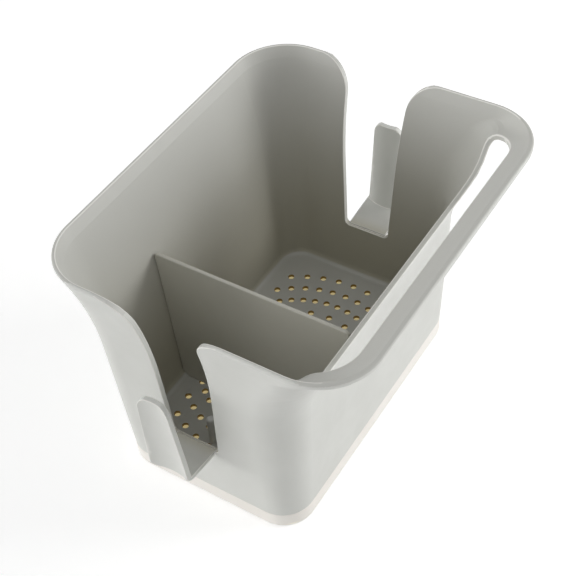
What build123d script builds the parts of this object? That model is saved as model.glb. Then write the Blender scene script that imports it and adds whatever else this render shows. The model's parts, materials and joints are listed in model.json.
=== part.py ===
from build123d import *
import math
import os

# Kitchen sink caddy: a perforated bin with a flared rim, two end hooks and a cloth bar, a lift-out divider,
# and a drip tray on soft pads. Lengths are millimetres and angles are degrees.
# It is drawn about the middle of its foot: +X runs along it, +Y towards the tall back wall and +Z up.
# Last, all pieces move together, so that the origin lies on the surface that the caddy stands on,
# under the middle of the whole caddy.

# Bin: overall
FOOT_LENGTH = 168.2  # outside, where the bin meets the tray
FOOT_WIDTH = 106.6
FOOT_CORNER = 17.0  # corner radius of the foot in plan
HEIGHT = 147.3  # rim above the surface
WALL = 3.0
DRAFT = math.tan(math.radians(2.9))  # how fast the walls spread with height

# Bin: flare below the rim
FLARE_HEIGHT = 58.0  # the walls start to turn out this far below the rim
FLARE_REACH = 9.0  # ends and back, past the draft
FRONT_FLARE_HEIGHT = 40.0  # the front turns out over this height, then stands upright
FRONT_FLARE_REACH = 11.4
CORNER_GROWTH_SHARE = 0.82  # the corner radii grow by this share of the walls' spread
RIM_ROUND = 1.2
FLOOR_ROUND = 4.0  # between the floor and the walls

# Bin: cloth bar along the front, and the gap behind it
BAR_REACH = 43.0  # outer edge of the bar past the foot's front face
BAR_WIDTH = 11.0
CURL_RADIUS = 7.0  # under the flange, where the front wall turns out into it
CURL_SWEEP = 75.0
CREASE_CORNER = 8.0  # inside, where the curl ends in the flange, the front corners are this tight
LIP_RISE = 6.0  # the flange climbs this much from the curl to its outer edge
RIM_WIDTH = 2.4  # of the rim's top
RIM_FRONT_CORNER = 30.0
GAP_LENGTH = 171.0  # in the flange
GAP_FOOT_LENGTH = 126.0  # along the top of the low front wall
GAP_SIDE_LEAN = math.tan(math.radians(42))  # of the gap's ends, seen from the front
GAP_BAR_CORNER = 16.0
GAP_WALL_CORNER = 16.0
FRONT_WALL_DROP = 36.2  # top of the low front wall below the rim

# Bin: slot in each end, open at the rim
SLOT_DEPTH = 102.2
SLOT_FOOT_WIDTH = 26.8
SLOT_FRONT_LEAN = 7.4  # the slot's front edge leans this far forward by the rim
SLOT_BACK_LEAN = 2.2
SLOT_FOOT_CORNER = 3.0
SLOT_SHOULDER = 18.0

# Bin: hook outside each slot
HOOK_GAP = 16.1  # from the wall's outer face to the middle of the tab, at the shelf
HOOK_RISE = 58.7  # tip of the tab above the slot's foot
HOOK_LEAN = 4.5
HOOK_THICKNESS = 2.8
HOOK_WIDTH = 23.0
HOOK_TIP_WIDTH = 16.4
HOOK_TIP_CORNER = 7.5
HOOK_DISH = 3.0  # the tab's edges stand this far out past its middle
HOOK_SHIFT = 0.9  # the hook's middle lies this far in front of the slot's
HOOK_BEND = 6.0  # round under the hook, where the shelf turns up into the tab
SHELF_THICKNESS = 2.8
SHELF_STEP = 1.6  # top of the shelf above the slot's foot, at the wall
SHELF_CLIMB = 3.0  # and how much higher it is at the tab

# Bin: perforated floor
FLOOR = 2.0
FLOOR_LIFT = 1.6  # top of the floor above the seam with the tray
SKIRT_DEPTH = 2.0  # the skirt under the floor drops this far into the tray
SKIRT_WALL = 1.6
HOLE_DIAMETER = 3.5
RING_SPACING = 9.3
SPOKE_STEP = 8.0
LEAST_PITCH = 6.5  # inner rings leave out spokes that would come closer than this
END_MARGIN = 16.2  # from the foot's end to the outermost ring
SIDE_MARGIN = 13.0
HOLES_ALONG = 1.7  # the pattern's middle lies this far towards the far end
HOLES_BACK = 1.4  # and this far behind the foot's middle

# Floor peg, pressed into the small compartment's floor
PEG_DIAMETER = 4.7
PEG_HEIGHT = 18.9
PEG_SHANK_DIAMETER = 3.4
PEG_TIP_ROUND = 1.6

# Divider
SMALL_COMPARTMENT = 49.2  # clear length at the floor
DIVIDER_THICKNESS = 2.2
DIVIDER_HEIGHT = 90.2
DIVIDER_CLEARANCE = 0.4
DIVIDER_TOP_CORNER = 2.0
DIVIDER_EDGE_ROUND = 0.6
DIVIDER_STEP = 6.5  # longest straight stretch where its edges follow the flare

# Drip tray and its pads
PAD_STAND = 0.4  # the pads hold the tray this far off the surface
TRAY_HEIGHT = 9.7
TRAY_WALL = 1.8
TRAY_FLOOR = 1.8
TRAY_FOOT_ROUND = 1.6
TRAY_INNER_ROUND = 1.0
TRAY_RIM_ROUND = 0.5
SKIRT_CLEARANCE = 0.3  # between the tray's wall and the bin's skirt
PAD_DIAMETER = 12.0
PAD_THICKNESS = 1.4
PAD_CLEARANCE = 0.3
PAD_EDGE_ROUND = 0.3

OVERRUN = 10.0  # how far cutters run past what they cut

# Heights and places worked out from the sizes above
SEAM = PAD_STAND + TRAY_HEIGHT
FLOOR_TOP = SEAM + FLOOR_LIFT
FLOOR_BOTTOM = FLOOR_TOP - FLOOR
FLARE_START = HEIGHT - FLARE_HEIGHT
RIM_BOTTOM = HEIGHT - WALL
SLOT_FOOT = HEIGHT - SLOT_DEPTH
FRONT_WALL_TOP = HEIGHT - FRONT_WALL_DROP
CREASE_TOP = HEIGHT - LIP_RISE
BAR_FRONT = FOOT_WIDTH / 2 + BAR_REACH
OUTER_RING = FOOT_LENGTH / 2 - END_MARGIN
PEG_RING = OUTER_RING - RING_SPACING / 2


def even_shares(count):
    """Shares from 0 to 1 in this many equal steps."""
    return [step / count for step in range(count + 1)]


FLARE_SHARES = even_shares(9)
ROUND_SHARES = even_shares(5)


def spread(z):
    """How far the end and back walls stand out past the foot at height z."""
    rise = max(0.0, z - FLARE_START) / FLARE_HEIGHT
    return DRAFT * (z - SEAM) + FLARE_REACH * rise**2


def front_face(z):
    """Distance of the front wall's outer face from the middle of the foot at height z, below the curl."""
    rise = min(1.0, max(0.0, z - FLARE_START) / FRONT_FLARE_HEIGHT)
    return FOOT_WIDTH / 2 + DRAFT * (z - SEAM) + FRONT_FLARE_REACH * rise**2 * (3 - 2 * rise)


def wall_corner(z):
    """Corner radius of the outer faces at height z."""
    return FOOT_CORNER + CORNER_GROWTH_SHARE * spread(z)


def front_corner(z):
    """Radius of the outer front corners at height z, drawn in towards the crease above the low front wall."""
    share = max(0.0, z - FRONT_WALL_TOP) / (CREASE_TOP - FRONT_WALL_TOP)
    return (1 - share) * wall_corner(z) + share * (CREASE_CORNER + WALL)


def section(z, front, inset, corner):
    """Plan outline at height z, inset from the outer faces, with its front edge at y = -front.

    The corner is the outer radius of its front corners."""
    reach = spread(z) - inset
    back = FOOT_WIDTH / 2 + reach
    outline = Rectangle(FOOT_LENGTH + 2 * reach, front + back)
    outline = fillet(outline.vertices().group_by(Axis.Y)[-1], wall_corner(z) - inset)
    outline = fillet(outline.vertices().group_by(Axis.Y)[0], corner - inset)
    return Pos(0, (back - front) / 2, z) * outline


def curl_base(radius, top):
    """Height where a curl of this radius starts, so that it ends at the top."""
    return top - radius * math.sin(math.radians(CURL_SWEEP))


def curl_sections(radius, top, inset=0.0):
    """Outlines of the front wall turning out into the flange, from the wall up to the top."""
    base = curl_base(radius, top)
    wall_front = front_face(base) - inset
    sections = []
    for share in ROUND_SHARES:
        turn = math.radians(CURL_SWEEP * share)
        front = wall_front + radius * (1 - math.cos(turn))
        z = base + radius * math.sin(turn)
        sections.append(section(z, front, inset, front_corner(z)))
    return sections


def wall_sections(bottom, top, inset=0.0):
    """Outlines from the bottom up to the flare, and through the flare up to the top."""
    heights = [bottom] + [FLARE_START + (top - FLARE_START) * share for share in FLARE_SHARES]
    return [section(z, front_face(z) - inset, inset, front_corner(z)) for z in heights]


def outer_block():
    """The bin's outside as one solid block, with the skirt that drops into the tray."""
    curl_top = RIM_BOTTOM - LIP_RISE
    wall = loft(wall_sections(SEAM, curl_base(CURL_RADIUS, curl_top)), ruled=True)
    curl = curl_sections(CURL_RADIUS, curl_top)
    rim_foot = section(RIM_BOTTOM, BAR_FRONT, 0, RIM_FRONT_CORNER)
    lip = loft([curl[-1], rim_foot], ruled=True)
    rim = loft([rim_foot, section(HEIGHT, BAR_FRONT, 0, RIM_FRONT_CORNER)], ruled=True)
    rim = fillet(rim.edges().group_by(Axis.Z)[-1], RIM_ROUND)
    skirt_inset = TRAY_WALL + SKIRT_CLEARANCE
    skirt = extrude(foot_outline(-skirt_inset), SKIRT_DEPTH)
    skirt_foot = SEAM - SKIRT_DEPTH
    hollow = extrude(foot_outline(-skirt_inset - SKIRT_WALL), FLOOR_BOTTOM - skirt_foot)
    body = wall + loft(curl, ruled=True) + lip + rim
    return body + Pos(0, 0, skirt_foot) * skirt - Pos(0, 0, skirt_foot) * hollow


def foot_outline(grown):
    """Plan outline of the bin's foot, grown on every side."""
    return RectangleRounded(FOOT_LENGTH + 2 * grown, FOOT_WIDTH + 2 * grown, FOOT_CORNER + grown)


def cavity():
    """The space inside the bin, rounded where the floor meets the walls."""
    round_top = FLOOR_TOP + FLOOR_ROUND
    foot = []
    for share in ROUND_SHARES:
        turn = math.radians(90 * share)
        z = FLOOR_TOP + FLOOR_ROUND * (1 - math.cos(turn))
        inset = WALL + FLOOR_ROUND * (1 - math.sin(turn))
        foot.append(section(z, front_face(z) - inset, inset, front_corner(z)))
    curl_radius = CURL_RADIUS + WALL
    wall = wall_sections(round_top, curl_base(curl_radius, CREASE_TOP), WALL)
    curl = curl_sections(curl_radius, CREASE_TOP, WALL)
    mouth = section(HEIGHT, BAR_FRONT - RIM_WIDTH, RIM_WIDTH, RIM_FRONT_CORNER)
    stages = [foot, wall, curl, [curl[-1], mouth]]
    space = extrude(mouth, OVERRUN)
    for stage in stages:
        space = space + loft(stage, ruled=True)
    return space


def handle_gap():
    """Cutter for the opening between the low front wall and the cloth bar."""
    bar_back = BAR_FRONT - BAR_WIDTH
    plan = RectangleRounded(GAP_LENGTH, 2 * bar_back, GAP_BAR_CORNER)
    plan_prism = Pos(0, 0, FRONT_WALL_TOP) * extrude(plan, FRONT_WALL_DROP + OVERRUN)
    foot = GAP_FOOT_LENGTH / 2
    side = foot + GAP_SIDE_LEAN * (FRONT_WALL_DROP + OVERRUN)
    past_rim = HEIGHT + OVERRUN
    corners = [(-foot, FRONT_WALL_TOP), (foot, FRONT_WALL_TOP), (side, past_rim), (-side, past_rim)]
    face = make_face(Polyline(*corners, close=True))
    face = fillet(face.vertices().group_by(Axis.Y)[0], GAP_WALL_CORNER)
    face_plane = Plane(origin=(0, 0, 0), x_dir=(1, 0, 0), z_dir=(0, -1, 0))
    face_prism = extrude(face_plane * face, BAR_FRONT)
    return plan_prism & face_prism


def end_slots():
    """Cutter for both end slots: one long prism with rounded shoulders at the rim."""
    half_foot = SLOT_FOOT_WIDTH / 2
    past_rim = HEIGHT + OVERRUN
    side = half_foot + SLOT_FRONT_LEAN + SLOT_SHOULDER + OVERRUN
    corners = [
        (-half_foot, SLOT_FOOT),
        (half_foot, SLOT_FOOT),
        (half_foot + SLOT_BACK_LEAN, HEIGHT),
        (side, HEIGHT),
        (side, past_rim),
        (-side, past_rim),
        (-side, HEIGHT),
        (-half_foot - SLOT_FRONT_LEAN, HEIGHT),
    ]
    outline = make_face(Polyline(*corners, close=True))
    foot_corners = outline.vertices().group_by(Axis.Y)[0]
    outline = fillet(foot_corners, SLOT_FOOT_CORNER)
    shoulders = outline.vertices().group_by(Axis.Y)[-2].sort_by(Axis.X)[1:-1]
    outline = fillet(shoulders, SLOT_SHOULDER)
    across = FOOT_LENGTH / 2 + spread(HEIGHT) + OVERRUN
    return extrude(Plane.YZ * outline, across, both=True)


def hook():
    """The hook at the +X end: a shelf from the slot's foot and a dished tab that leans out."""
    wall_face = FOOT_LENGTH / 2 + spread(SLOT_FOOT)
    tab_face = wall_face + HOOK_GAP
    tip = SLOT_FOOT + HOOK_RISE
    inner = wall_face - WALL / 2
    outer = tab_face + HOOK_DISH + HOOK_THICKNESS
    low_top = SLOT_FOOT + SHELF_STEP
    high_top = low_top + SHELF_CLIMB
    low = (inner, low_top - SHELF_THICKNESS)
    high = (outer, high_top - SHELF_THICKNESS)
    whole = side_prism([low, high, (outer + HOOK_LEAN, tip), (inner, tip)], HOOK_BEND)
    shelf = side_prism([low, high, (outer, high_top), (inner, low_top)])
    dish_radius = ((HOOK_WIDTH / 2) ** 2 + HOOK_DISH**2) / (2 * HOOK_DISH)
    place = Pos(tab_face + dish_radius, -HOOK_SHIFT, SLOT_FOOT)
    lean = (HOOK_LEAN, 0, HOOK_RISE)
    behind_dish = leaning_cylinder(place, dish_radius, lean)
    before_dish = leaning_cylinder(place, dish_radius - HOOK_THICKNESS, lean)
    return whole & ((tab_prism(inner, outer + HOOK_LEAN) & behind_dish) + shelf) - before_dish


def side_prism(corners, bend=0.0):
    """Prism across the hook's width from its outline in side view; the second corner can be rounded."""
    side = make_face(Polyline(*corners, close=True))
    if bend:
        side = fillet(side.vertices().sort_by_distance(corners[1])[0], bend)
    return extrude(Pos(0, -HOOK_SHIFT, 0) * Plane.XZ * side, HOOK_WIDTH / 2, both=True)


def leaning_cylinder(place, radius, lean):
    """Cylinder along the tab's lean, longer than the tab both ways."""
    rise = Vector(*lean)
    start = Pos(*(-rise)) * place
    return extrude(start * Circle(radius), 3 * rise.length, dir=rise)


def tab_prism(near, far):
    """Prism along X with the tab's outline, narrower and rounded at its tip."""
    half = HOOK_WIDTH / 2
    tip_half = HOOK_TIP_WIDTH / 2
    tip = SLOT_FOOT + HOOK_RISE
    corners = [(-half, SLOT_FOOT), (half, SLOT_FOOT), (tip_half, tip), (-tip_half, tip)]
    outline = make_face(Polyline(*corners, close=True))
    outline = fillet(outline.vertices().group_by(Axis.Y)[-1], HOOK_TIP_CORNER)
    plane = Plane(origin=(near, -HOOK_SHIFT, 0), x_dir=(0, 1, 0), z_dir=(1, 0, 0))
    return extrude(plane * outline, far - near)


def drain_holes():
    """Middles of the drain holes: rings on common spokes, the same on both halves of the floor."""
    half_hole_row = FOOT_WIDTH / 2 - SIDE_MARGIN
    places = []
    radius = OUTER_RING
    while radius > RING_SPACING:
        step = SPOKE_STEP * math.ceil(LEAST_PITCH / (radius * math.radians(SPOKE_STEP)))
        spokes = math.floor(90 / step)
        for spoke in range(-spokes, spokes + 1):
            turn = math.radians(step * spoke)
            x = radius * math.cos(turn)
            y = radius * math.sin(turn)
            if abs(y) <= half_hole_row:
                places += [(HOLES_ALONG + side * x, HOLES_BACK + y) for side in (1, -1)]
        radius -= RING_SPACING
    return places


def peg_place():
    """Middle of the floor peg, halfway between the two outermost rings of holes, on the next spoke."""
    turn = math.radians(180 - SPOKE_STEP)
    x = HOLES_ALONG + PEG_RING * math.cos(turn)
    y = HOLES_BACK + PEG_RING * math.sin(turn)
    return Pos(x, y, FLOOR_TOP)


def make_bin():
    body = outer_block() - cavity() - handle_gap() - end_slots()
    end_hook = hook()
    body = body + end_hook + mirror(end_hook, about=Plane.YZ)
    drill = Cylinder(HOLE_DIAMETER / 2, 2 * OVERRUN)
    body = body - [Pos(x, y, FLOOR_TOP) * drill for x, y in drain_holes()]
    return body - peg_place() * Cylinder(PEG_SHANK_DIAMETER / 2, 2 * OVERRUN)


def make_floor_peg():
    pin = peg_place() * Pos(0, 0, PEG_HEIGHT / 2) * Cylinder(PEG_DIAMETER / 2, PEG_HEIGHT)
    pin = fillet(pin.edges().group_by(Axis.Z)[-1], PEG_TIP_ROUND)
    shank = peg_place() * Pos(0, 0, -FLOOR / 2) * Cylinder(PEG_SHANK_DIAMETER / 2, FLOOR)
    return pin + shank


def flare_heights(top):
    """Heights from the start of the flare up to the top, a short step apart."""
    if top <= FLARE_START:
        return [top]
    steps = math.ceil((top - FLARE_START) / DIVIDER_STEP)
    return [FLARE_START + (top - FLARE_START) * share for share in even_shares(steps)]


def make_divider():
    """Upright panel that follows the front and back walls, with its lower corners clear of the floor's round."""
    gap = WALL + DIVIDER_CLEARANCE
    low = FLOOR_TOP + FLOOR_ROUND
    top = FLOOR_TOP + DIVIDER_HEIGHT
    heights = [low] + flare_heights(top)
    back = [(FOOT_WIDTH / 2 + spread(z) - gap, z) for z in heights]
    front = [(gap - front_face(z), z) for z in reversed(heights)]
    foot_front = (front[-1][0] + FLOOR_ROUND, FLOOR_TOP)
    foot_back = (back[0][0] - FLOOR_ROUND, FLOOR_TOP)
    outline = make_face(Polyline(foot_front, foot_back, *back, *front, close=True))
    outline = fillet(outline.vertices().group_by(Axis.Y)[-1], DIVIDER_TOP_CORNER)
    near_face = SMALL_COMPARTMENT + WALL - FOOT_LENGTH / 2
    panel = extrude(Plane.YZ * outline, DIVIDER_THICKNESS)
    panel = fillet(panel.edges().group_by(Axis.Z)[-1], DIVIDER_EDGE_ROUND)
    return Pos(near_face, 0, 0) * panel


def pad_places():
    """Middles of the four pads, at the middles of the tray's corner rounds."""
    x = FOOT_LENGTH / 2 - FOOT_CORNER
    y = FOOT_WIDTH / 2 - FOOT_CORNER
    return [(-x, -y), (x, -y), (x, y), (-x, y)]


def make_drip_tray():
    block = extrude(foot_outline(0), TRAY_HEIGHT)
    block = fillet(block.edges().group_by(Axis.Z)[0], TRAY_FOOT_ROUND)
    block = fillet(block.edges().group_by(Axis.Z)[-1], TRAY_RIM_ROUND)
    inside = extrude(foot_outline(-TRAY_WALL), TRAY_HEIGHT)
    inside = fillet(inside.edges().group_by(Axis.Z)[0], TRAY_INNER_ROUND)
    tray = Pos(0, 0, PAD_STAND) * (block - Pos(0, 0, TRAY_FLOOR) * inside)
    recess_depth = PAD_THICKNESS - PAD_STAND
    recess = Cylinder(PAD_DIAMETER / 2 + PAD_CLEARANCE, 2 * recess_depth)
    return tray - [Pos(x, y, PAD_STAND) * recess for x, y in pad_places()]


def make_pad(x, y):
    pad = Cylinder(PAD_DIAMETER / 2, PAD_THICKNESS)
    pad = fillet(pad.edges().group_by(Axis.Z)[0], PAD_EDGE_ROUND)
    return Pos(x, y, PAD_THICKNESS / 2) * pad


def main():
    os.makedirs("parts", exist_ok=True)
    parts = {
        "bin": make_bin(),
        "floor_peg": make_floor_peg(),
        "divider": make_divider(),
        "drip_tray": make_drip_tray(),
    }
    for number, (x, y) in enumerate(pad_places(), 1):
        parts[f"tray_pad_{number}"] = make_pad(x, y)
    to_middle = Pos(0, -parts["bin"].bounding_box().center().Y, 0)
    for name, part in parts.items():
        export_step(to_middle * part, f"parts/{name}.step")


main()
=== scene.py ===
"""Looks for the kitchen sink caddy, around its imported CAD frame.

Smooth mouldings with softly rounded edges stand in a plain pale studio."""

import json
import math

import bmesh
import bpy
from bpy.props import FloatProperty, FloatVectorProperty, PointerProperty
from mathutils import Matrix, Vector
from mathutils.bvhtree import BVHTree
from mathutils.interpolate import poly_3d_calc

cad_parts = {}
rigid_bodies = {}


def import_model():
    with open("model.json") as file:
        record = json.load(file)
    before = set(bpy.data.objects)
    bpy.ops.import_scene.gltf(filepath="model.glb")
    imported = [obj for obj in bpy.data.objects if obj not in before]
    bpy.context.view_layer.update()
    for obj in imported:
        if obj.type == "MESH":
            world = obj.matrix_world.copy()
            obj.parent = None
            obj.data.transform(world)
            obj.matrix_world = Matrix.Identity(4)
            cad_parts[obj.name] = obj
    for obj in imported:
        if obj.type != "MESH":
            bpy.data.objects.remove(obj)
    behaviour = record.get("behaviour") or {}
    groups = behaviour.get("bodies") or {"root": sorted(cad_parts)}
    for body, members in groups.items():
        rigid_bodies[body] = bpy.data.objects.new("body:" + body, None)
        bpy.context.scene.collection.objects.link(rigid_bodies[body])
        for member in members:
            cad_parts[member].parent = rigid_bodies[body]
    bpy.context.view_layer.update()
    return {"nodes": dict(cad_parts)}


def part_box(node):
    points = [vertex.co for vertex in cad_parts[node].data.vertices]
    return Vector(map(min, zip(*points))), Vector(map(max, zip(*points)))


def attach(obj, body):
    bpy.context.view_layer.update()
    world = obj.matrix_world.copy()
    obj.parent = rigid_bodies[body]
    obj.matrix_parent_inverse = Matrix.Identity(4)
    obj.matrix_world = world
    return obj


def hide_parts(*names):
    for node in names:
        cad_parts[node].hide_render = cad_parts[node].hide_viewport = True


bl_info = {
    "name": "Kitchen Sink Caddy",
    "version": (1, 0, 0),
    "blender": (4, 5, 0),
    "location": "3D View > Sidebar > Sink Caddy",
    "description": "Builds a sink caddy with a divider and a drip tray around its CAD frame",
    "category": "Object",
}

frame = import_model()
MM = 0.001

# Places read from the frame
BIN_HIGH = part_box("bin")[1]
DIVIDER_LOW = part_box("divider")[0]
TRAY_LOW, TRAY_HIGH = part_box("drip_tray")
PEG_LOW, PEG_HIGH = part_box("floor_peg")
PAD_NODES = sorted(name for name in frame["nodes"] if name.startswith("tray_pad"))
TRAY_MIDDLE = (TRAY_LOW + TRAY_HIGH) / 2
FLOOR_UNDERSIDE = PEG_LOW.z
FLOOR_TOP = DIVIDER_LOW.z

# Zones of the bin, by which its surfaces and edges are told apart
FOOT_SLACK = 0.1 * MM  # around the height at which the bin's foot meets the tray
FLOOR_SLACK = 0.5 * MM  # above and below the floor
FLOOR_COVE = 3.0 * MM  # above the floor, where its rounded corners still count as floor
HOLES_MARGIN = 6.0 * MM  # from the tray's outline to where drain holes may be
RIM_MARGIN = 0.5 * MM  # below the rim's top
HOOK_REACH = 12.12 * MM  # from a hook's outside to the bin's walls
GAP_SETBACK = 6.0 * MM  # from the divider's front to the cloth gap
GAP_DEPTH = 29.0 * MM  # from the back of the cloth gap to its front
GAP_OVERHANG = 2.0 * MM  # from the tray's end to the cloth gap's end
RIM_HEIGHT = BIN_HIGH.z - RIM_MARGIN
HOOK_START = BIN_HIGH.x - HOOK_REACH
GAP_BACK = DIVIDER_LOW.y - GAP_SETBACK
GAP_FRONT = GAP_BACK - GAP_DEPTH
GAP_END = TRAY_HIGH.x + GAP_OVERHANG

# Shares of a unit normal or edge that lie along a direction, by which surfaces and edges are told apart
LEVEL_SHARE = 0.9
FLOOR_SHARE = 0.7
LEDGE_SHARE = 0.5
INWARD_SHARE = 0.2
HOLE_WALL_SHARE = 0.8

# Painted shade, stored as the "depth" attribute, on the bin's floor and at its rim; down the walls it grows
# from the rim's to nearly 1, so the inside is painted darker and warmer lower down
FLOOR_SHADE = 0.3
RIM_SHADE = 0.5

# Tolerances and angles of the mesh work
MERGE_DISTANCE = 0.001 * MM
SURFACE_TOLERANCE = 0.005 * MM
HEIGHT_TOLERANCE = 0.001 * MM
FLAT_ANGLE = math.radians(0.5)
SMOOTH_ANGLE = math.radians(35)
SHARP_ANGLE = math.radians(50)

# Steps in rounded edges and round outlines
EDGE_STEPS = 3
TRAY_FOOT_STEPS = 4
PEG_TIP_STEPS = 5
TRAY_CORNER_STEPS = 16
DISC_SIDES = 40
RECESS_SIDES = 48

# Noise in the moulded surface: its scale, its detail and the range of it that is spread out
CLOUD_SCALE = 22.0
CLOUD_DETAIL = 3.0
CLOUD_RANGE = (0.35, 0.65)
GLOSS_SCALE = 140.0
GLOSS_RANGE = (0.3, 0.7)
GRAIN_SCALE = 1300.0
FINE_DETAIL = 2.0

# Finishes: range of roughness, depth of the grain and strength of reflections; the floor has one roughness
SATIN = {"rough": (0.38, 0.48), "grain": 0.02 * MM, "specular": 0.4}
TRAY_SATIN = {**SATIN, "rough": (0.34, 0.44)}
PEG_SATIN = {**SATIN, "rough": (0.4, 0.55)}
PAD_RUBBER = {"rough": (0.6, 0.75), "grain": 0.04 * MM, "specular": 0.3}
STAGE_FLOOR = {"rough": 0.9, "specular": 0.1}

# The tray floor's glow: the share of its half size where it starts to fade, and its half height as a
# share of the floor's thickness
GLOW_FADE_SHARE = 0.92
GLOW_HEIGHT_SHARE = 0.4

# The side light's falloff, as powers: away from its middle and upwards
SIDE_FOCUS = 4.0
SIDE_FALL = 3.0

SENSOR_WIDTH = 36.0
BLACK = (0.0, 0.0, 0.0, 1.0)
WHITE = (1.0, 1.0, 1.0, 1.0)


def length(label, description, value):
    """A property for one size, in metres."""
    return FloatProperty(
        name=label, description=description, default=value, min=0.0, unit="LENGTH", precision=5
    )


def colour(label, description, value):
    """A property for one linear colour."""
    return FloatVectorProperty(
        name=label, description=description, default=value, size=3, min=0.0, max=1.0, subtype="COLOR"
    )


def point(label, description, value):
    """A property for one place, in metres."""
    return FloatVectorProperty(name=label, description=description, default=value, size=3, subtype="XYZ")


def angle(label, description, value):
    """A property for one angle, in radians."""
    return FloatProperty(name=label, description=description, default=value, subtype="ANGLE")


def strength(label, description, value):
    """A property for one strength of light."""
    return FloatProperty(name=label, description=description, default=value, min=0.0)


class CaddySizes(bpy.types.PropertyGroup):
    bin_edge: length("Bin edge", "Round on the rim, the end slots and the hooks", 0.5 * MM)
    gap_edge: length("Gap edge", "Round on both sides of the gap behind the cloth bar", 0.8 * MM)
    hole_edge: length("Drain hole edge", "Round on the edges of the drain holes", 0.3 * MM)
    foot_edge: length("Foot edge", "Round on the bin's lower edge, above the tray", 0.4 * MM)
    divider_edge: length("Divider edge", "Round on the divider's edges", 0.35 * MM)
    tray_corner: length("Tray corner", "Corner radius of the drip tray in plan", 17.0 * MM)
    tray_wall: length("Tray wall", "Thickness of the drip tray's wall", 1.8 * MM)
    tray_floor: length("Tray floor", "Thickness of the drip tray's floor", 1.8 * MM)
    tray_foot_round: length("Tray foot round", "Round under the drip tray's outside", 1.6 * MM)
    tray_rim_round: length("Tray rim round", "Round on the drip tray's rim", 0.5 * MM)
    peg_shank: length("Peg shank", "Radius of the peg's shank in the floor", 1.7 * MM)
    peg_tip_round: length("Peg tip round", "Round on the peg's tip", 1.6 * MM)
    pad_clearance: length("Pad clearance", "Gap between a pad and its recess", 0.3 * MM)
    pad_edge: length("Pad edge", "Round on a pad's lower edge", 0.3 * MM)


class CaddyColours(bpy.types.PropertyGroup):
    bin_colour: colour("Bin", "Warm light grey of the bin", (0.65, 0.655, 0.62))
    bin_tint: colour("Bin tint", "Second grey in the bin's faint clouding", (0.68, 0.685, 0.65))
    # Painted highlight: the bin's rounded edges are painted paler, in place of the light that catches them
    bin_edge: colour("Bin edges", "Paler grey of the bin's rounded edges", (0.84, 0.83, 0.79))
    # Painted shade: the inside and rim are painted darker, and warmer deeper in, in place of the shade
    # inside the bin
    inside_painted_shade: colour("Bin inside", "Grey of the bin's inside and rim", (0.555, 0.555, 0.52))
    deep_painted_shade: colour("Bin depth", "Warmer grey deep inside the bin", (0.48, 0.462, 0.38))
    # Painted light: warm light coming up through the tray is painted on the drain holes' walls as dark gold
    hole_painted_light: colour("Hole walls", "Dark gold of the drain holes' walls", (0.26, 0.18, 0.05))
    # Painted shade: the divider's greys are darker and warmer than the bin's, for the shade it stands in
    # inside the bin
    divider_shaded_grey: colour("Divider", "Grey of the divider", (0.53, 0.52, 0.46))
    divider_tint: colour("Divider tint", "Second grey in the divider's faint clouding", (0.55, 0.54, 0.48))
    # Painted highlight: the divider's rounded edges are painted paler, in place of the light that catches
    # them
    divider_edge: colour("Divider edges", "Paler grey of the divider's edges", (0.74, 0.72, 0.66))
    tray_colour: colour("Tray", "Ivory of the drip tray", (0.90, 0.865, 0.81))
    tray_tint: colour("Tray tint", "Second ivory in the tray's faint clouding", (0.92, 0.89, 0.84))
    tray_glow: colour("Tray glow", "Light that comes up through the tray's floor", (0.32, 0.27, 0.14))
    peg_colour: colour("Peg", "Grey of the floor peg", (0.66, 0.67, 0.66))
    peg_tint: colour("Peg tint", "Paler grey in the peg's faint clouding", (0.80, 0.81, 0.79))
    pad_colour: colour("Pad", "Milky grey of the soft pads", (0.50, 0.49, 0.46))
    pad_tint: colour("Pad tint", "Second grey in the pads' faint clouding", (0.45, 0.441, 0.414))


class CaddyStage(bpy.types.PropertyGroup):
    camera_place: point("Camera", "Place of the camera", (-0.34964, -0.23894, 0.52268))
    camera_yaw: angle("Yaw", "Turn of the view from +X towards +Y", 0.622)
    camera_pitch: angle("Pitch", "How far the view looks down", 0.804)
    camera_roll: angle("Roll", "Lean of the camera", -0.092)
    camera_lens: FloatProperty(
        name="Lens", description="Focal length in mm on the 36 mm sensor", default=76.57, min=1.0
    )
    sky: strength("Sky", "Strength of the even studio light", 0.45)
    side: strength("Side", "Strength of the broad low light at the left", 7.4)
    key: strength("Key lamp", "Power of the large soft lamp in watts", 9.4)
    key_place: point("Key lamp place", "Place of the large soft lamp", (0.8, -1.0, 0.5))
    key_target: point("Key lamp target", "Place that the large soft lamp points at", (0.0, 0.0, 0.07))
    key_size: length("Key lamp size", "Length of the large soft lamp's sides", 0.7)
    floor_size: length("Floor", "Length of the pale floor's sides", 30.0)
    floor_colour: colour("Floor colour", "Pale grey of the floor", (0.9, 0.9, 0.9))
    floor_lift: strength("Floor brightness", "Brightness added to the floor as seen", 0.42)


# Working in edit mode


def deselect_all():
    """Leaves no object selected."""
    for item in bpy.context.view_layer.objects:
        item.select_set(False)


def select_only(item):
    """Makes one object the selected and active one."""
    deselect_all()
    item.select_set(True)
    bpy.context.view_layer.objects.active = item


def edit_selection(item, kind, test):
    """Enters edit mode with only those vertices, edges or faces selected that pass the test."""
    select_only(item)
    bpy.ops.object.mode_set(mode="EDIT")
    bpy.ops.mesh.select_mode(type=kind)
    bpy.ops.mesh.select_all(action="DESELECT")
    mesh = bmesh.from_edit_mesh(item.data)
    parts = {"VERT": mesh.verts, "EDGE": mesh.edges, "FACE": mesh.faces}[kind]
    for part in parts:
        if test(part):
            part.select_set(True)
    mesh.select_flush_mode()
    bmesh.update_edit_mesh(item.data)


def leave_edit():
    """Goes back to object mode."""
    bpy.ops.object.mode_set(mode="OBJECT")


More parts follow.
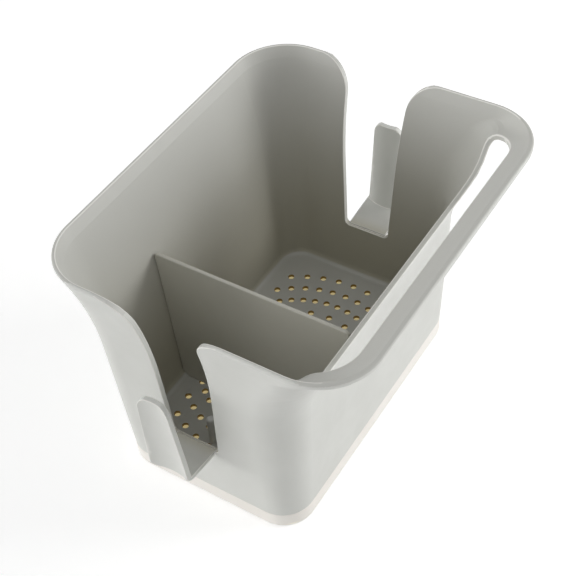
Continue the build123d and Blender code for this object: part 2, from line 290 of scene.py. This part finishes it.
def round_edges(item, width, steps, test):
    """Rounds those edges of an object that pass the test."""
    edit_selection(item, "EDGE", test)
    bpy.ops.mesh.bevel(offset=width, segments=steps, affect="EDGES")
    leave_edit()


def extrude_upwards(distance):
    """Extrudes the selected faces upwards, or downwards where the distance is below 0."""
    bpy.ops.mesh.extrude_region_move(TRANSFORM_OT_translate={"value": (0.0, 0.0, distance)})


def place_in_mesh(item):
    """Moves an object's place, turn and scale into its mesh."""
    select_only(item)
    bpy.ops.object.transform_apply(location=True, rotation=True, scale=True)


def apply_modifiers(item):
    """Applies all of an object's modifiers, in their order."""
    select_only(item)
    for name in [modifier.name for modifier in item.modifiers]:
        bpy.ops.object.modifier_apply(modifier=name)


def smooth(item):
    """Smooth shading, with sharper edges kept crisp."""
    select_only(item)
    bpy.ops.object.shade_smooth_by_angle(angle=SMOOTH_ANGLE)


def corner_normal(cad, face_index, place):
    """The CAD node's smooth normal at a place on one of its triangles."""
    face = cad.polygons[face_index]
    corners = [cad.vertices[index].co for index in face.vertices]
    normals = [cad.corner_normals[index].vector for index in face.loop_indices]
    shares = poly_3d_calc(corners, place)
    return sum((share * normal for share, normal in zip(shares, normals)), Vector())


def keep_cad_normals(item, node):
    """Gives the points that still lie on the CAD surface its shading, so that only the rounds are new.

    The attribute "edge" is 1 on the points of the rounds and 0 elsewhere; it masks the painted highlight on
    the rounds."""
    cad = frame["nodes"][node].data
    tree = BVHTree.FromPolygons([vert.co for vert in cad.vertices], [face.vertices for face in cad.polygons])
    near = [tree.find_nearest_range(vert.co, SURFACE_TOLERANCE) for vert in item.data.vertices]
    normals = []
    for face in item.data.polygons:
        for index in face.vertices:
            vert = item.data.vertices[index]
            if near[index]:
                place, _, nearest, _ = max(near[index], key=lambda hit: hit[1].dot(face.normal))
                normals.append(corner_normal(cad, nearest, place))
            else:
                normals.append(vert.normal)
    item.data.normals_split_custom_set(normals)
    edge = item.data.attributes.new("edge", "FLOAT", "POINT")
    for index, hits in enumerate(near):
        edge.data[index].value = 0.0 if hits else 1.0


def finish_piece(item, material, body, slot, *nodes):
    """Gives a piece its material and body, and hides the CAD nodes that it stands for. The slot is not used.
    """
    item.data.materials.clear()
    item.data.materials.append(material)
    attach(item, body)
    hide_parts(*nodes)


# Materials


def group_tree(name, inputs, outputs):
    """An empty shader node group with these sockets."""
    tree = bpy.data.node_groups.new(name, "ShaderNodeTree")
    for label, kind in inputs:
        tree.interface.new_socket(label, in_out="INPUT", socket_type=kind)
    for label, kind in outputs:
        tree.interface.new_socket(label, in_out="OUTPUT", socket_type=kind)
    return tree, tree.nodes.new("NodeGroupInput"), tree.nodes.new("NodeGroupOutput")


def surface_shader(tree):
    """The shader that a new material starts with."""
    return next(node for node in tree.nodes if node.type == "BSDF_PRINCIPLED")


def feed(tree, value, socket):
    """Links another socket to this one, or sets this one's plain value."""
    if isinstance(value, bpy.types.NodeSocket):
        tree.links.new(value, socket)
    else:
        socket.default_value = value


def math_node(tree, operation, first, second):
    """A math node of two values or sockets; returns its result."""
    node = tree.nodes.new("ShaderNodeMath")
    node.operation = operation
    feed(tree, first, node.inputs[0])
    feed(tree, second, node.inputs[1])
    return node.outputs[0]


def vector_node(tree, operation, first, second):
    """A math node of two vectors or sockets; returns its outputs."""
    node = tree.nodes.new("ShaderNodeVectorMath")
    node.operation = operation
    feed(tree, first, node.inputs[0])
    feed(tree, second, node.inputs[1])
    return node.outputs


def split_axes(tree, vector):
    """The X, Y and Z of a vector."""
    node = tree.nodes.new("ShaderNodeSeparateXYZ")
    tree.links.new(vector, node.inputs[0])
    return node.outputs


def noise(tree, coordinates, scale, detail):
    """A noise texture on the given coordinates; returns its value."""
    texture = tree.nodes.new("ShaderNodeTexNoise")
    texture.inputs["Scale"].default_value = scale
    texture.inputs["Detail"].default_value = detail
    tree.links.new(coordinates, texture.inputs["Vector"])
    return texture.outputs["Fac"]


def spread_range(tree, value, low, high, to_low=0.0, to_high=1.0):
    """Maps a value from one range to another, with smooth ends."""
    node = tree.nodes.new("ShaderNodeMapRange")
    node.interpolation_type = "SMOOTHSTEP"
    for label, end in zip(("From Min", "From Max", "To Min", "To Max"), (low, high, to_low, to_high)):
        feed(tree, end, node.inputs[label])
    tree.links.new(value, node.inputs["Value"])
    return node.outputs["Result"]


def mix_colours(tree, factor, first, second):
    """Mixes from the first colour to the second; returns the result."""
    node = tree.nodes.new("ShaderNodeMix")
    node.data_type = "RGBA"
    feed(tree, factor, node.inputs["Factor"])
    feed(tree, first, node.inputs["A"])
    feed(tree, second, node.inputs["B"])
    return node.outputs["Result"]


def moulded_group():
    """Faint clouding, a fine moulded grain and the slight gloss changes of satin plastic."""
    name = "Moulded Surface"
    if name in bpy.data.node_groups:
        return bpy.data.node_groups[name]
    tree, given, result = group_tree(
        name,
        [
            ("Colour", "NodeSocketColor"),
            ("Tint", "NodeSocketColor"),
            ("Low Roughness", "NodeSocketFloat"),
            ("High Roughness", "NodeSocketFloat"),
        ],
        [("Colour", "NodeSocketColor"), ("Roughness", "NodeSocketFloat"), ("Height", "NodeSocketFloat")],
    )
    coordinates = tree.nodes.new("ShaderNodeTexCoord").outputs["Object"]
    cloud = spread_range(tree, noise(tree, coordinates, CLOUD_SCALE, CLOUD_DETAIL), *CLOUD_RANGE)
    clouded = mix_colours(tree, cloud, given.outputs["Colour"], given.outputs["Tint"])
    tree.links.new(clouded, result.inputs["Colour"])
    gloss = noise(tree, coordinates, GLOSS_SCALE, FINE_DETAIL)
    roughness = (given.outputs["Low Roughness"], given.outputs["High Roughness"])
    tree.links.new(spread_range(tree, gloss, *GLOSS_RANGE, *roughness), result.inputs["Roughness"])
    tree.links.new(noise(tree, coordinates, GRAIN_SCALE, FINE_DETAIL), result.inputs["Height"])
    return tree


def moulded(name, base, tint, finish=SATIN):
    """A moulded material with the shared surface group."""
    material = bpy.data.materials.new(name)
    material.use_nodes = True
    tree = material.node_tree
    shader = surface_shader(tree)
    surface = tree.nodes.new("ShaderNodeGroup")
    surface.node_tree = moulded_group()
    surface.inputs["Colour"].default_value = (*base, 1.0)
    surface.inputs["Tint"].default_value = (*tint, 1.0)
    surface.inputs["Low Roughness"].default_value = finish["rough"][0]
    surface.inputs["High Roughness"].default_value = finish["rough"][1]
    bump = tree.nodes.new("ShaderNodeBump")
    bump.inputs["Distance"].default_value = finish["grain"]
    bump.inputs["Strength"].default_value = 1.0
    tree.links.new(surface.outputs["Height"], bump.inputs["Height"])
    tree.links.new(surface.outputs["Colour"], shader.inputs["Base Color"])
    tree.links.new(surface.outputs["Roughness"], shader.inputs["Roughness"])
    tree.links.new(bump.outputs["Normal"], shader.inputs["Normal"])
    shader.inputs["Specular IOR Level"].default_value = finish["specular"]
    return material


def paint_light_by_attribute(material, stages):
    """Mixes painted shade, painted highlights and painted light into the base colour by stored attributes.

    Each stage holds an attribute's name, its values for none and all of the colour, and the colour."""
    tree = material.node_tree
    shader = surface_shader(tree)
    mixed = shader.inputs["Base Color"].links[0].from_socket
    for name, low, high, stage_colour in stages:
        attribute = tree.nodes.new("ShaderNodeAttribute")
        attribute.attribute_name = name
        factor = spread_range(tree, attribute.outputs["Fac"], low, high)
        mixed = mix_colours(tree, factor, mixed, (*stage_colour, 1.0))
    tree.links.new(mixed, shader.inputs["Base Color"])


def glow_group():
    """Light that comes up through a thin level floor: a colour on that floor and black elsewhere."""
    name = "Floor Glow"
    tree, given, result = group_tree(
        name,
        [("Colour", "NodeSocketColor"), ("Middle", "NodeSocketVector"), ("Half Size", "NodeSocketVector")],
        [("Colour", "NodeSocketColor")],
    )
    coordinates = tree.nodes.new("ShaderNodeTexCoord").outputs["Object"]
    away = vector_node(tree, "SUBTRACT", coordinates, given.outputs["Middle"])[0]
    share = vector_node(tree, "DIVIDE", away, given.outputs["Half Size"])[0]
    mask = 1.0
    for axis in split_axes(tree, share):
        inside = spread_range(tree, math_node(tree, "ABSOLUTE", axis, 0.0), GLOW_FADE_SHARE, 1.0, 1.0, 0.0)
        mask = math_node(tree, "MULTIPLY", inside, mask)
    tree.links.new(mix_colours(tree, mask, BLACK, given.outputs["Colour"]), result.inputs["Colour"])
    return tree


def add_glow(material, glow_colour, middle, half_size):
    """Adds light from below to a material's level floor."""
    tree = material.node_tree
    shader = surface_shader(tree)
    glow = tree.nodes.new("ShaderNodeGroup")
    glow.node_tree = glow_group()
    glow.inputs["Colour"].default_value = (*glow_colour, 1.0)
    glow.inputs["Middle"].default_value = middle
    glow.inputs["Half Size"].default_value = half_size
    tree.links.new(glow.outputs["Colour"], shader.inputs["Emission Color"])
    shader.inputs["Emission Strength"].default_value = 1.0


# Bin and divider


def weigh_edges(item, width_of):
    """Stores each sharp edge's width of round as its bevel weight; returns the widest."""
    mesh = bmesh.new()
    mesh.from_mesh(item.data)
    layer = mesh.edges.layers.float.new("bevel_weight_edge")
    widths = []
    for edge in mesh.edges:
        sharp = edge.is_manifold and edge.calc_face_angle() > SHARP_ANGLE
        widths.append(width_of(edge) if sharp else 0.0)
    widest = max(widths)
    for edge, width in zip(mesh.edges, widths):
        edge[layer] = width / widest
    mesh.to_mesh(item.data)
    mesh.free()
    return widest


def rounded_copy(node, name, width_of):
    """A merged copy of a CAD node with its sharp edges rounded.

    width_of takes an edge and gives the round's width in metres, or 0 to leave it."""
    item = bpy.data.objects.new(name, frame["nodes"][node].data.copy())
    item.data.name = name
    bpy.context.scene.collection.objects.link(item)
    edit_selection(item, "VERT", lambda vert: True)
    bpy.ops.mesh.remove_doubles(threshold=MERGE_DISTANCE)
    bpy.ops.mesh.dissolve_limited(angle_limit=FLAT_ANGLE)
    leave_edit()
    widest = weigh_edges(item, width_of)
    bevel = item.modifiers.new("Edge round", "BEVEL")
    bevel.limit_method = "WEIGHT"
    bevel.width = widest
    bevel.segments = EDGE_STEPS
    bevel.use_clamp_overlap = False
    apply_modifiers(item)
    smooth(item)
    keep_cad_normals(item, node)
    return item


def in_cloth_gap(place):
    """Whether a place lies in the gap behind the cloth bar, or on its edges."""
    return GAP_FRONT < place.y < GAP_BACK and abs(place.x) < GAP_END and place.z < RIM_HEIGHT


def in_drained_floor(place):
    """Whether a place lies in the part of the bin's floor that has the drain holes."""
    in_floor = FLOOR_UNDERSIDE - FLOOR_SLACK < place.z < FLOOR_TOP + FLOOR_SLACK
    along = abs(place.x) < TRAY_HIGH.x - HOLES_MARGIN
    across = TRAY_LOW.y + HOLES_MARGIN < place.y < TRAY_HIGH.y - HOLES_MARGIN
    return in_floor and along and across


def bin_edge_width(edge, sizes):
    """The width of the round on one of the bin's sharp edges; those under the floor get none."""
    middle = (edge.verts[0].co + edge.verts[1].co) / 2
    if edge.is_convex and abs(middle.z - TRAY_HIGH.z) < FOOT_SLACK:
        return sizes.foot_edge
    if middle.z < (FLOOR_UNDERSIDE + FLOOR_TOP) / 2:
        return 0.0
    if middle.z < FLOOR_TOP + FLOOR_SLACK:
        return sizes.hole_edge
    if in_cloth_gap(middle):
        return sizes.gap_edge
    return sizes.bin_edge


def mark_painted_shade(item):
    """Stores how deep inside the bin each point lies, as the mask of the painted shade in its colour.

    It is 0 outside, RIM_SHADE at the rim and nearly 1 at the foot of the walls. The floor has its own."""
    depth = item.data.attributes.new("depth", "FLOAT", "POINT")
    for vert in item.data.vertices:
        place = vert.co
        inwards = Vector((TRAY_MIDDLE.x - place.x, TRAY_MIDDLE.y - place.y, 0.0)).normalized()
        faces_in = vert.normal.dot(inwards) > INWARD_SHARE or vert.normal.z > LEDGE_SHARE
        share = (RIM_HEIGHT - place.z) / (RIM_HEIGHT - FLOOR_UNDERSIDE)
        if vert.normal.z > FLOOR_SHARE and place.z < FLOOR_TOP + FLOOR_COVE:
            depth.data[vert.index].value = FLOOR_SHADE
        elif faces_in and abs(place.x) < HOOK_START:
            depth.data[vert.index].value = RIM_SHADE + (1.0 - RIM_SHADE) * max(0.0, share)


def mark_holes(item):
    """Stores 1 on the walls of the drain holes and 0 elsewhere, as the mask of the painted warm light on
    them.
    """
    hole = item.data.attributes.new("hole", "FLOAT", "POINT")
    for vert in item.data.vertices:
        steep = abs(vert.normal.z) < HOLE_WALL_SHARE
        hole.data[vert.index].value = 1.0 if steep and in_drained_floor(vert.co) else 0.0


class CADDY_OT_bin(bpy.types.Operator):
    """Makes the bin with its hooks and cloth bar, every cut edge softly rounded"""

    bl_idname = "sink_caddy.bin"
    bl_label = "Bin"

    def execute(self, context):
        sizes = context.scene.caddy_sizes
        colours = context.scene.caddy_colours
        item = rounded_copy("bin", "bin_shell", lambda edge: bin_edge_width(edge, sizes))
        mark_painted_shade(item)
        mark_holes(item)
        material = moulded("bin plastic", colours.bin_colour, colours.bin_tint)
        # Painted shade darkens the inside and warms it lower down, a painted highlight lightens the rounds,
        # and painted warm light from the tray tints the drain holes' walls dark gold
        stages = [
            ("depth", 0.0, RIM_SHADE, colours.inside_painted_shade),
            ("depth", RIM_SHADE, 1.0, colours.deep_painted_shade),
            ("edge", 0.0, 1.0, colours.bin_edge),
            ("hole", 0.0, 1.0, colours.hole_painted_light),
        ]
        paint_light_by_attribute(material, stages)
        finish_piece(item, material, "bin", "bin_plastic", "bin")
        return {"FINISHED"}


class CADDY_OT_divider(bpy.types.Operator):
    """Makes the lift-out divider"""

    bl_idname = "sink_caddy.divider"
    bl_label = "Divider"

    def execute(self, context):
        sizes = context.scene.caddy_sizes
        colours = context.scene.caddy_colours
        item = rounded_copy("divider", "divider_panel", lambda edge: sizes.divider_edge)
        material = moulded("divider plastic", colours.divider_shaded_grey, colours.divider_tint)
        # Painted highlight: the divider's rounds are painted paler
        paint_light_by_attribute(material, [("edge", 0.0, 1.0, colours.divider_edge)])
        finish_piece(item, material, "divider", "divider_plastic", "divider")
        return {"FINISHED"}


# Tray, peg and pads


def block(name, low, high):
    """A plain box between two corners, as the start of a piece."""
    deselect_all()
    bpy.ops.mesh.primitive_cube_add(size=1.0, location=(low + high) / 2, scale=high - low)
    item = bpy.context.object
    item.name = item.data.name = name
    place_in_mesh(item)
    return item


def disc(name, middle, radius, low, high, sides=DISC_SIDES):
    """An upright cylinder between two heights, as the start of a piece."""
    deselect_all()
    place = (middle.x, middle.y, (low + high) / 2)
    bpy.ops.mesh.primitive_cylinder_add(vertices=sides, radius=radius, depth=high - low, location=place)
    item = bpy.context.object
    item.name = item.data.name = name
    place_in_mesh(item)
    return item


def level_edge(height):
    """Test for edges that lie at one height."""
    return lambda edge: all(abs(vert.co.z - height) < HEIGHT_TOLERANCE for vert in edge.verts)


def sharp_level_edge(height):
    """Test for sharp edges that lie at one height."""
    return lambda edge: level_edge(height)(edge) and edge.calc_face_angle() > SHARP_ANGLE


def upright_edge(edge):
    """Test for edges that stand upright."""
    along = edge.verts[0].co - edge.verts[1].co
    return abs(along.z) > LEVEL_SHARE * along.length


def cut_away(item, cutter):
    """Takes the cutter's shape out of an object, and deletes the cutter."""
    cut = item.modifiers.new("Cut", "BOOLEAN")
    cut.operation = "DIFFERENCE"
    cut.solver = "EXACT"
    cut.object = cutter
    apply_modifiers(item)
    bpy.data.objects.remove(cutter)


def tray_shell(sizes):
    """The drip tray as a shallow open shell with round corners."""
    item = block("tray_shell", TRAY_LOW, TRAY_HIGH)
    round_edges(item, sizes.tray_corner, TRAY_CORNER_STEPS, upright_edge)
    edit_selection(item, "FACE", lambda face: face.normal.z > LEVEL_SHARE)
    bpy.ops.mesh.inset(thickness=sizes.tray_wall)
    extrude_upwards(TRAY_LOW.z + sizes.tray_floor - TRAY_HIGH.z)
    leave_edit()
    round_edges(item, sizes.tray_foot_round, TRAY_FOOT_STEPS, level_edge(TRAY_LOW.z))
    round_edges(item, sizes.tray_rim_round, EDGE_STEPS, sharp_level_edge(TRAY_HIGH.z))
    return item


def cut_recesses(item, clearance):
    """Cuts a recess for each pad into the tray's underside."""
    for node in PAD_NODES:
        low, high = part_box(node)
        radius = (high.x - low.x) / 2 + clearance
        cut_away(item, disc("recess", (low + high) / 2, radius, low.z, high.z, RECESS_SIDES))


class CADDY_OT_drip_tray(bpy.types.Operator):
    """Makes the shallow drip tray, with recesses for its pads"""

    bl_idname = "sink_caddy.drip_tray"
    bl_label = "Drip tray"

    def execute(self, context):
        sizes = context.scene.caddy_sizes
        colours = context.scene.caddy_colours
        item = tray_shell(sizes)
        cut_recesses(item, sizes.pad_clearance)
        smooth(item)
        material = moulded("tray plastic", colours.tray_colour, colours.tray_tint, TRAY_SATIN)
        middle = Vector((TRAY_MIDDLE.x, TRAY_MIDDLE.y, TRAY_LOW.z + sizes.tray_floor))
        half = (TRAY_HIGH - TRAY_LOW) / 2 - Vector((sizes.tray_wall, sizes.tray_wall, 0.0))
        half.z = GLOW_HEIGHT_SHARE * sizes.tray_floor
        add_glow(material, colours.tray_glow, middle, half)
        finish_piece(item, material, "tray", "tray_plastic", "drip_tray")
        return {"FINISHED"}


class CADDY_OT_floor_peg(bpy.types.Operator):
    """Makes the round-tipped peg on the floor of the small compartment"""

    bl_idname = "sink_caddy.floor_peg"
    bl_label = "Floor peg"

    def execute(self, context):
        sizes = context.scene.caddy_sizes
        colours = context.scene.caddy_colours
        radius = (PEG_HIGH.x - PEG_LOW.x) / 2
        item = disc("peg", (PEG_LOW + PEG_HIGH) / 2, radius, FLOOR_TOP, PEG_HIGH.z)
        round_edges(item, sizes.peg_tip_round, PEG_TIP_STEPS, level_edge(PEG_HIGH.z))
        edit_selection(item, "FACE", lambda face: face.normal.z < -LEVEL_SHARE)
        bpy.ops.mesh.inset(thickness=radius - sizes.peg_shank)
        extrude_upwards(FLOOR_UNDERSIDE - FLOOR_TOP)
        leave_edit()
        smooth(item)
        material = moulded("peg plastic", colours.peg_colour, colours.peg_tint, PEG_SATIN)
        finish_piece(item, material, "bin", "peg_plastic", "floor_peg")
        return {"FINISHED"}


class CADDY_OT_tray_pads(bpy.types.Operator):
    """Makes the soft pads under the drip tray"""

    bl_idname = "sink_caddy.tray_pads"
    bl_label = "Tray pads"

    def execute(self, context):
        sizes = context.scene.caddy_sizes
        colours = context.scene.caddy_colours
        material = moulded("pad rubber", colours.pad_colour, colours.pad_tint, PAD_RUBBER)
        for number, node in enumerate(PAD_NODES, 1):
            low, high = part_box(node)
            item = disc(f"soft_pad_{number}", (low + high) / 2, (high.x - low.x) / 2, low.z, high.z)
            round_edges(item, sizes.pad_edge, EDGE_STEPS, level_edge(low.z))
            smooth(item)
            finish_piece(item, material, "tray", "pad_rubber", node)
        return {"FINISHED"}


# Stage


def make_camera(stage):
    """Camera at the photograph's viewing angle."""
    yaw, pitch, roll = stage.camera_yaw, stage.camera_pitch, stage.camera_roll
    forward = Vector((math.cos(yaw) * math.cos(pitch), math.sin(yaw) * math.cos(pitch), -math.sin(pitch)))
    level = Vector((math.sin(yaw), -math.cos(yaw), 0.0))
    rise = level.cross(forward)
    right = math.cos(roll) * level + math.sin(roll) * rise
    up = math.cos(roll) * rise - math.sin(roll) * level
    data = bpy.data.cameras.new("Camera")
    data.lens = stage.camera_lens
    data.sensor_width = SENSOR_WIDTH
    camera = bpy.data.objects.new("Camera", data)
    turn = Matrix((right, up, -forward)).transposed().to_4x4()
    camera.matrix_world = Matrix.Translation(Vector(stage.camera_place)) @ turn
    bpy.context.scene.collection.objects.link(camera)
    bpy.context.scene.camera = camera


def make_lamp(stage):
    """Large soft lamp at the right of the view."""
    data = bpy.data.lights.new("Key", "AREA")
    data.shape = "SQUARE"
    data.size = stage.key_size
    data.energy = stage.key
    lamp = bpy.data.objects.new("Key", data)
    aim = Vector(stage.key_target) - Vector(stage.key_place)
    lamp.rotation_euler = aim.to_track_quat("-Z", "Y").to_euler()
    lamp.location = stage.key_place
    bpy.context.scene.collection.objects.link(lamp)


def seen_rays(tree):
    """1 for camera, glossy and transmission rays, else 0."""
    path = tree.nodes.new("ShaderNodeLightPath")
    total = math_node(tree, "MAXIMUM", path.outputs["Is Camera Ray"], path.outputs["Is Glossy Ray"])
    return math_node(tree, "MAXIMUM", total, path.outputs["Is Transmission Ray"])


def side_light(tree, stage):
    """Strength of the broad low light left of the camera, for each direction."""
    direction = tree.nodes.new("ShaderNodeTexCoord").outputs["Generated"]
    left = (-math.sin(stage.camera_yaw), math.cos(stage.camera_yaw), 0.0)
    along = vector_node(tree, "DOT_PRODUCT", direction, left)["Value"]
    beside = math_node(tree, "POWER", math_node(tree, "MAXIMUM", along, 0.0), SIDE_FOCUS)
    height = math_node(tree, "MAXIMUM", split_axes(tree, direction)["Z"], 0.0)
    low = math_node(tree, "POWER", math_node(tree, "SUBTRACT", 1.0, height), SIDE_FALL)
    return math_node(tree, "MULTIPLY", math_node(tree, "MULTIPLY", beside, low), stage.side)


def make_world(stage):
    """Even light all round and a broad low light at the left; seen as plain white."""
    world = bpy.data.worlds.new("Studio")
    bpy.context.scene.world = world
    world.use_nodes = True
    tree = world.node_tree
    background = next(node for node in tree.nodes if node.type == "BACKGROUND")
    light = math_node(tree, "ADD", side_light(tree, stage), stage.sky)
    shown = tree.nodes.new("ShaderNodeMix")
    shown.inputs["B"].default_value = 1.0
    tree.links.new(seen_rays(tree), shown.inputs["Factor"])
    tree.links.new(light, shown.inputs["A"])
    tree.links.new(shown.outputs["Result"], background.inputs["Strength"])
    background.inputs["Color"].default_value = WHITE


def make_floor(stage):
    """Pale floor that keeps the object's soft shadow."""
    deselect_all()
    bpy.ops.mesh.primitive_plane_add(size=stage.floor_size)
    floor = bpy.context.object
    floor.name = "floor"
    material = bpy.data.materials.new("pale floor")
    material.use_nodes = True
    tree = material.node_tree
    shader = surface_shader(tree)
    shader.inputs["Base Color"].default_value = (*stage.floor_colour, 1.0)
    shader.inputs["Roughness"].default_value = STAGE_FLOOR["rough"]
    shader.inputs["Specular IOR Level"].default_value = STAGE_FLOOR["specular"]
    shader.inputs["Emission Color"].default_value = WHITE
    lift = math_node(tree, "MULTIPLY", seen_rays(tree), stage.floor_lift)
    tree.links.new(lift, shader.inputs["Emission Strength"])
    floor.data.materials.append(material)


class CADDY_OT_stage(bpy.types.Operator):
    """Makes the camera, the soft lamp, the side light, the white surroundings and the pale floor"""

    bl_idname = "sink_caddy.stage"
    bl_label = "Stage"

    def execute(self, context):
        stage = context.scene.caddy_stage
        make_camera(stage)
        make_world(stage)
        make_lamp(stage)
        make_floor(stage)
        context.scene.view_settings.view_transform = "Standard"
        return {"FINISHED"}


class CADDY_PT_panel(bpy.types.Panel):
    """Lists the steps that build the caddy, and its sizes, colours and stage settings"""

    bl_idname = "CADDY_PT_panel"
    bl_label = "Sink Caddy"
    bl_space_type = "VIEW_3D"
    bl_region_type = "UI"
    bl_category = "Sink Caddy"

    def draw(self, context):
        column = self.layout.column()
        for step in STEPS:
            column.operator(step.bl_idname)
        for group in (context.scene.caddy_sizes, context.scene.caddy_colours, context.scene.caddy_stage):
            for name in group.__annotations__:
                column.prop(group, name)


GROUPS = {"caddy_sizes": CaddySizes, "caddy_colours": CaddyColours, "caddy_stage": CaddyStage}
STEPS = (
    CADDY_OT_bin,
    CADDY_OT_divider,
    CADDY_OT_drip_tray,
    CADDY_OT_floor_peg,
    CADDY_OT_tray_pads,
    CADDY_OT_stage,
)


def register():
    """Registers the classes and hangs the property groups on the scene."""
    for group in (*GROUPS.values(), *STEPS, CADDY_PT_panel):
        bpy.utils.register_class(group)
    for name, group in GROUPS.items():
        setattr(bpy.types.Scene, name, PointerProperty(type=group))


def unregister():
    """Takes the property groups and the classes away again."""
    for name in GROUPS:
        delattr(bpy.types.Scene, name)
    for group in (CADDY_PT_panel, *reversed(STEPS), *reversed(GROUPS.values())):
        bpy.utils.unregister_class(group)


def main():
    """Runs every step in order."""
    register()
    for step in STEPS:
        group, name = step.bl_idname.split(".")
        getattr(getattr(bpy.ops, group), name)()


if __name__ == "__main__":
    main()
